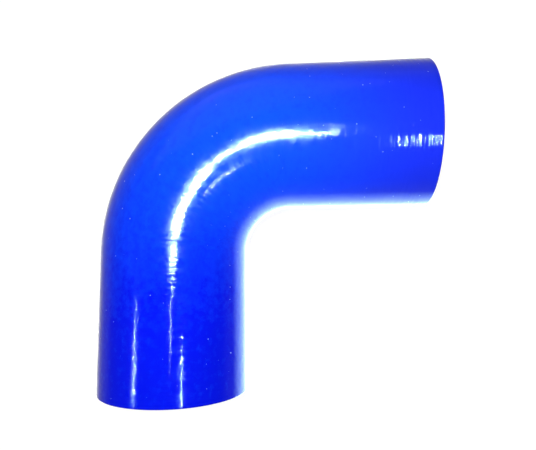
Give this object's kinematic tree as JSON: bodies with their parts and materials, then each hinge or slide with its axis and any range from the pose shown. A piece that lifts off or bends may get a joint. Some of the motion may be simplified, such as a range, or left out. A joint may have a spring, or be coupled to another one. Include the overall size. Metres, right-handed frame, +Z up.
{
  "type": "silicone elbow hose",
  "caption": "Right-angle elbow hose of moulded silicone rubber: straight legs of equal length joined by a smooth bend, with square-cut open ends, lying on its side.",
  "frame": {"origin": "on the surface that the hose lies on, under the middle of its bounding box", "axes": "+Z up, square to the plane of the bend; +X out of the inlet end, along the inlet leg; -Y out of the outlet end, along the outlet leg"},
  "size_m": [0.1932, 0.1932, 0.0862],
  "materials": {
    "silicone": "glossy deep blue silicone rubber, with fine lines across the hose from the tape that it was cured under"
  },
  "bodies": {
    "root": {"elbow_hose": "silicone"}
  },
  "joints": []
}
